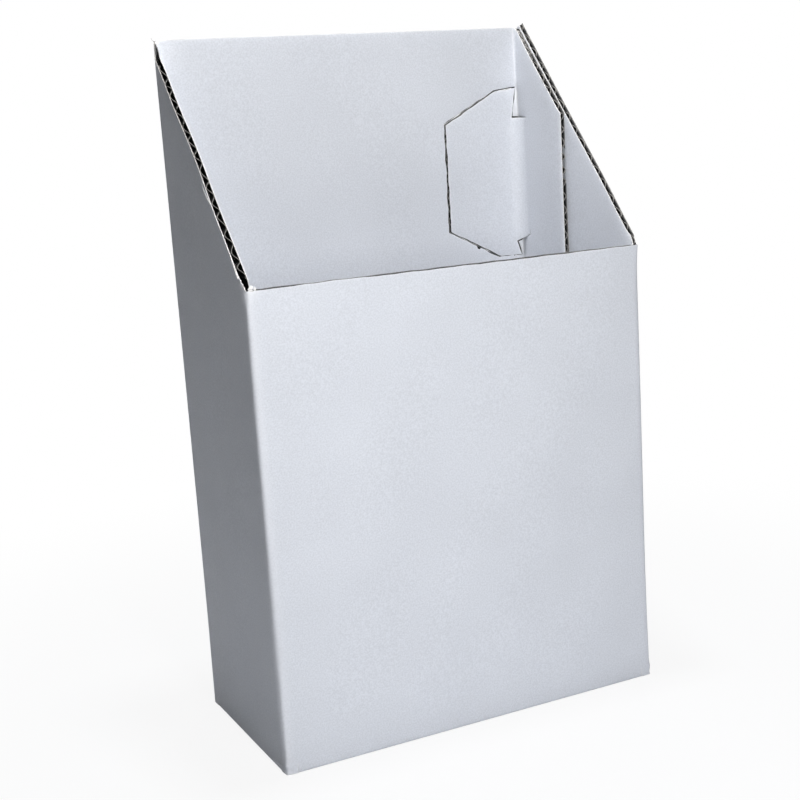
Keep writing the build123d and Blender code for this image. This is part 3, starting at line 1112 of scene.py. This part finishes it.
class BROCHURE_OT_fray_edges(bpy.types.Operator):
    """Fray the cut edges with short fibres, two peeled slivers and a flake"""

    bl_idname = "brochure_box.fray_edges"
    bl_label = "Fray edges"

    def execute(self, context):
        sizes = context.scene.brochure_sizes
        blank = Blank(sizes)
        _, (a2, b2), (a3, _), (_, b4) = blank.strip.folds
        random = np.random.default_rng(11)
        fibre_width, spike_width = 0.00009, 0.0007
        points, faces = [], []

        def ribbon(path, width):
            start = len(points)
            for k, (spot, across) in enumerate(path):
                share_left = 1.0 - k / (len(path) - 1) * 0.8
                points.extend([spot - across * width * share_left / 2, spot + across * width * share_left / 2])
            for k in range(len(path) - 1):
                i = start + 2 * k
                faces.append([i, i + 1, i + 3, i + 2])

        def spot(s, t, out):
            return blank.place(np.array([s]), np.array([t]), np.array([out]))[0]

        outer, inner = blank.half - 0.0002, -blank.half + 0.0002
        runs = [(b2, a3, outer, 26), (b2, a3, inner, 20), (b4, blank.strip.length, inner, 16)]
        for first, last, out, count in runs:
            for _ in range(count):
                s = random.uniform(first + 0.004, last - 0.004)
                if first == b2:
                    rise = blank.left_rise(blank.front + blank.outer + s - b2)
                else:
                    rise = blank.rise(blank.back - blank.outer - s + b4)
                reach, drift = random.uniform(0.0005, 0.0016), random.normal(0.0, 0.0006, 2)
                path = []
                for k in range(4):
                    f = k / 3
                    here = spot(s + drift[0] * f * f, rise - 0.0003 + reach * f, out + drift[1] * f * f)
                    path.append((here, np.array([0.0, 0.7, 0.7])))
                ribbon(path, fibre_width)
        for wide, first, last, drop, lift in SLIVERS:
            path = []
            for f in np.linspace(0.0, 1.0, 14):
                s = b2 + first + (last - first) * f
                rise = blank.left_rise(blank.front + blank.outer + s - b2)
                out = blank.half + 0.0001 + lift * (math.sin(f * math.pi) if first > 0.04 else f**1.5)
                path.append((spot(s, rise - drop * (1.0 - f) - 0.0002, out), np.array([-0.75, 0.3, -0.55])))
            ribbon(path[::-1], wide)
        fold, high = (a2 + b2) / 2, sizes.front_height
        for shift, wide, size in ((-0.0012, 0.0026, 1.0), (-0.0026, 0.0014, 0.6)):
            path = []
            for k, (rise, out) in enumerate(FLAKE):
                here = spot(fold + shift + 0.0003 * math.sin(k * 2.0), high + rise * size, blank.half + out)
                path.append((here, np.array([-0.95, 0.25, 0.15])))
            ribbon(path, wide)
        corner = spot(a3 + 0.0015, sizes.back_height, blank.half)
        spike, across = np.array([-0.0011, 0.0, 0.0013]), np.array([0.8, 0.0, 0.6])
        ribbon([(corner + spike * f, across) for f in (0.0, 0.4, 0.75, 1.0)], spike_width)
        plain_object("edge_fibres", points, faces, board_materials()[2], {})
        return {"FINISHED"}


class BROCHURE_OT_crush_flutes(bpy.types.Operator):
    """Crumple the flutes at the top of the glue flap's slope"""

    bl_idname = "brochure_box.crush_flutes"
    bl_label = "Crush flutes"

    def execute(self, context):
        blank = Blank(context.scene.brochure_sizes)
        b4 = blank.strip.folds[3][1]
        long, wide, run = 90, 14, 0.0165
        s, t, out = [], [], []
        for i in range(long + 1):
            for j in range(wide + 1):
                far, across = run * i / long, j / wide
                fade = min(1.0, (run - far) / 0.004)
                rumple = math.sin(far * 2900.0 + across * 5.0) + math.sin(far * 1700.0 - across * 11.0)
                rumple += math.sin(across * 23.0 + far * 900.0)
                rise = blank.rise(blank.back - blank.outer - far)
                s.append(b4 - 0.0006 + far)
                t.append(rise - 0.0006 + 0.00022 * rumple - 0.003 * (1.0 - fade))
                out.append((blank.half - 0.0004) * (2.0 * across - 1.0))
        s, t = np.array(s), np.array(t)
        points = blank.place(s, t, blank.squeezed(s, t, np.array(out)))
        faces = []
        for i in range(long):
            for j in range(wide):
                k = i * (wide + 1) + j
                faces.append([k, k + wide + 1, k + wide + 2, k + 1])
        plain_object("crushed_flutes", points, faces, crushed_material(), {})
        return {"FINISHED"}


class BROCHURE_OT_set_stage(bpy.types.Operator):
    """Set the floor, the lights, the white surroundings and the camera"""

    bl_idname = "brochure_box.set_stage"
    bl_label = "Set stage"

    def execute(self, context):
        stage = context.scene.brochure_stage
        context.scene.view_settings.view_transform = "Standard"
        self.floor(stage)
        self.surroundings(stage)
        for name, place, aim, size, power in LAMPS:
            self.lamp(name, place, aim, size, getattr(stage, power))
        self.camera(context)
        return {"FINISHED"}

    def floor(self, stage):
        """A wide pale floor that the camera sees as white, and that still takes the box's shadow."""
        mesh = bpy.data.meshes.new("floor")
        far = 4.0
        mesh.from_pydata([(-far, -far, 0), (far, -far, 0), (far, far, 0), (-far, far, 0)], [], [(0, 1, 2, 3)])
        floor = bpy.data.objects.new("floor", mesh)
        floor.location.z = -0.0003
        bpy.context.scene.collection.objects.link(floor)
        material = bpy.data.materials.new("pale_floor")
        material.use_nodes = True
        nodes, links = material.node_tree.nodes, material.node_tree.links
        shader = nodes["Principled BSDF"]
        shader.inputs["Base Color"].default_value = (*stage.floor_colour, 1.0)
        shader.inputs["Roughness"].default_value = 0.9
        shader.inputs["Specular IOR Level"].default_value = 0.0
        white = nodes.new("ShaderNodeEmission")
        mix = nodes.new("ShaderNodeMixShader")
        spot = nodes.new("ShaderNodeTexCoord").outputs["Object"]
        away = nodes.new("ShaderNodeVectorMath")
        away.operation = "LENGTH"
        links.new(spot, away.inputs[0])
        fade = ranged(nodes, links, away.outputs["Value"], (0.12, 0.55), (stage.floor_white, 1.0), "SMOOTHSTEP")
        seen = maths(nodes, links, "MULTIPLY", self.seen(nodes, links), fade)
        links.new(seen, mix.inputs[0])
        links.new(shader.outputs[0], mix.inputs[1])
        links.new(white.outputs[0], mix.inputs[2])
        links.new(mix.outputs[0], nodes["Material Output"].inputs["Surface"])
        mesh.materials.append(material)

    def seen(self, nodes, links):
        """One for rays that show the surroundings: from the camera, or by reflection or through glass."""
        path = nodes.new("ShaderNodeLightPath")
        both = maths(nodes, links, "MAXIMUM", path.outputs["Is Glossy Ray"], path.outputs["Is Transmission Ray"])
        return maths(nodes, links, "MAXIMUM", path.outputs["Is Camera Ray"], both)

    def surroundings(self, stage):
        """A white world for the eye, and a soft grey one for the light."""
        world = bpy.data.worlds.new("studio")
        world.use_nodes = True
        nodes, links = world.node_tree.nodes, world.node_tree.links
        light = nodes["Background"]
        light.inputs["Color"].default_value = (1.0, 1.0, 1.0, 1.0)
        light.inputs["Strength"].default_value = stage.ambient
        white = nodes.new("ShaderNodeBackground")
        white.inputs["Color"].default_value = (1.0, 1.0, 1.0, 1.0)
        mix = nodes.new("ShaderNodeMixShader")
        links.new(self.seen(nodes, links), mix.inputs[0])
        links.new(light.outputs[0], mix.inputs[1])
        links.new(white.outputs[0], mix.inputs[2])
        links.new(mix.outputs[0], nodes["World Output"].inputs["Surface"])
        bpy.context.scene.world = world

    def lamp(self, name, place, aim, size, power):
        """A soft light, upright, of this width and height."""
        light = bpy.data.lights.new(name, "AREA")
        light.shape = "RECTANGLE"
        light.size, light.size_y = size
        light.energy = power
        lamp = bpy.data.objects.new(name, light)
        lamp.location = place
        lamp.rotation_euler = (Vector(place) - Vector(aim)).to_track_quat("Z", "Y").to_euler()
        bpy.context.scene.collection.objects.link(lamp)

    def camera(self, context):
        """The photograph's view: from the left front, a little above, with a slight roll."""
        azimuth, elevation, roll = (math.radians(v) for v in CAMERA_TURN)
        level = math.cos(elevation)
        back = Vector((math.sin(azimuth) * level, -math.cos(azimuth) * level, math.sin(elevation)))
        right = (-back).cross(Vector((0.0, 0.0, 1.0))).normalized()
        up = right.cross(-back)
        across = right * math.cos(roll) + up * math.sin(roll)
        upright = up * math.cos(roll) - right * math.sin(roll)
        lens = bpy.data.cameras.new("photo_camera")
        lens.sensor_width = 36.0
        lens.lens = CAMERA_LENS
        lens.clip_start = 0.01
        camera = bpy.data.objects.new("photo_camera", lens)
        turn = Matrix((across, upright, back)).transposed().to_4x4()
        camera.matrix_world = Matrix.Translation(CAMERA_PLACE) @ turn
        context.scene.collection.objects.link(camera)
        context.scene.camera = camera


class BROCHURE_PT_panel(bpy.types.Panel):
    """Steps that dress the box"""

    bl_idname = "BROCHURE_PT_panel"
    bl_label = "Brochure box"
    bl_space_type = "VIEW_3D"
    bl_region_type = "UI"
    bl_category = "Brochure box"

    def draw(self, context):
        for step in STEPS:
            self.layout.operator(step.bl_idname)


STEPS = (
    BROCHURE_OT_fold_liners,
    BROCHURE_OT_lay_flutes,
    BROCHURE_OT_seat_tab,
    BROCHURE_OT_crush_flutes,
    BROCHURE_OT_fray_edges,
    BROCHURE_OT_set_stage,
)
GROUPS = {"brochure_sizes": BoxSizes, "brochure_look": BoardLook, "brochure_stage": StageLook}


def register():
    for kind in (*GROUPS.values(), *STEPS, BROCHURE_PT_panel):
        bpy.utils.register_class(kind)
    for name, kind in GROUPS.items():
        setattr(bpy.types.Scene, name, PointerProperty(type=kind))


def unregister():
    for name in GROUPS:
        delattr(bpy.types.Scene, name)
    for kind in reversed((*GROUPS.values(), *STEPS, BROCHURE_PT_panel)):
        bpy.utils.unregister_class(kind)


def main():
    """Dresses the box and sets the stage."""
    register()
    bpy.ops.brochure_box.fold_liners()
    bpy.ops.brochure_box.lay_flutes()
    bpy.ops.brochure_box.seat_tab()
    bpy.ops.brochure_box.crush_flutes()
    bpy.ops.brochure_box.fray_edges()
    bpy.ops.brochure_box.set_stage()
    bpy.context.view_layer.update()


if __name__ == "__main__":
    main()
